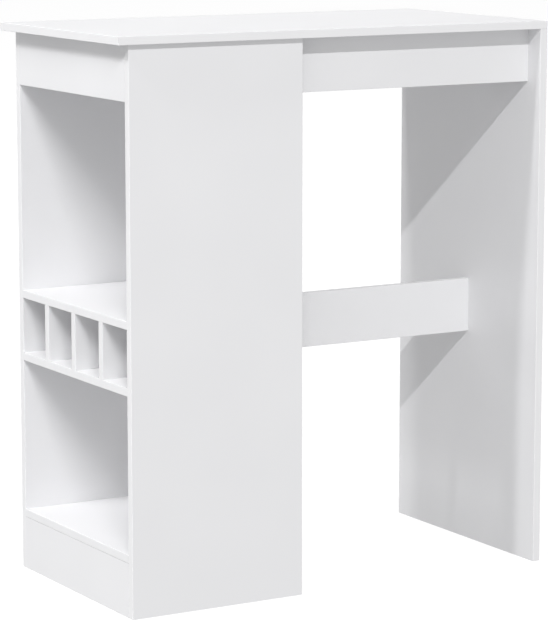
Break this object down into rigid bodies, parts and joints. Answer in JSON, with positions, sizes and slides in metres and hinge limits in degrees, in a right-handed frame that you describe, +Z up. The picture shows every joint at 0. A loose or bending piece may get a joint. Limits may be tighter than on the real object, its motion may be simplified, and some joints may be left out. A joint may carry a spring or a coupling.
{
  "type": "bar table with shelves",
  "caption": "Tall bar table in white board: an open shelf unit with a bottle rack carries one end of the top, a leg panel the other, with an apron and a foot rail between them.",
  "frame": {"origin": "centre of the footprint, on the floor", "axes": "+X along the table from the shelf unit to the leg panel, +Y to the back, +Z up; the front apron is towards -Y"},
  "size_m": [0.9, 0.475, 1.035],
  "materials": {
    "melamine": "white melamine face on chipboard, satin",
    "edging": "white edging strip, satin",
    "cap": "white moulded cover cap",
    "steel": "zinc-plated steel",
    "zinc": "die-cast zinc, dull",
    "beech": "raw beech"
  },
  "bodies": {
    "root": {"back_wall": "melamine", "back_wall_edging": "edging", "bottle_divider_1": "melamine", "bottle_divider_2": "melamine", "bottle_divider_dowels": "beech", "bottle_divider_edging": "edging", "bottle_divider_screws": "steel", "bottom_shelf": "melamine", "bottom_shelf_cam_bolts": "steel", "bottom_shelf_cam_nuts": "zinc", "bottom_shelf_dowels": "beech", "bottom_shelf_edging": "edging", "cam_caps": "cap", "foot_rail": "melamine", "foot_rail_cam_bolts": "steel", "foot_rail_cam_nuts": "zinc", "foot_rail_dowels": "beech", "foot_rail_edging": "edging", "front_apron": "melamine", "front_apron_cam_bolts": "steel", "front_apron_cam_nuts": "zinc", "front_apron_dowels": "beech", "front_apron_edging": "edging", "front_wall": "melamine", "front_wall_edging": "edging", "leg_panel": "melamine", "leg_panel_edging": "edging", "plinth": "melamine", "plinth_cam_bolts": "steel", "plinth_cam_nuts": "zinc", "plinth_dowels": "beech", "rack_lower_shelf": "melamine", "rack_shelf_cam_bolts": "steel", "rack_shelf_cam_nuts": "zinc", "rack_shelf_dowels": "beech", "rack_shelf_edging": "edging", "rack_upper_shelf": "melamine", "side_apron": "melamine", "side_apron_cam_bolts": "steel", "side_apron_cam_nuts": "zinc", "side_apron_dowels": "beech", "side_apron_edging": "edging", "table_top": "melamine", "table_top_cam_bolts": "steel", "table_top_cam_nuts": "zinc", "table_top_dowels": "beech", "table_top_edging": "edging"}
  },
  "joints": []
}
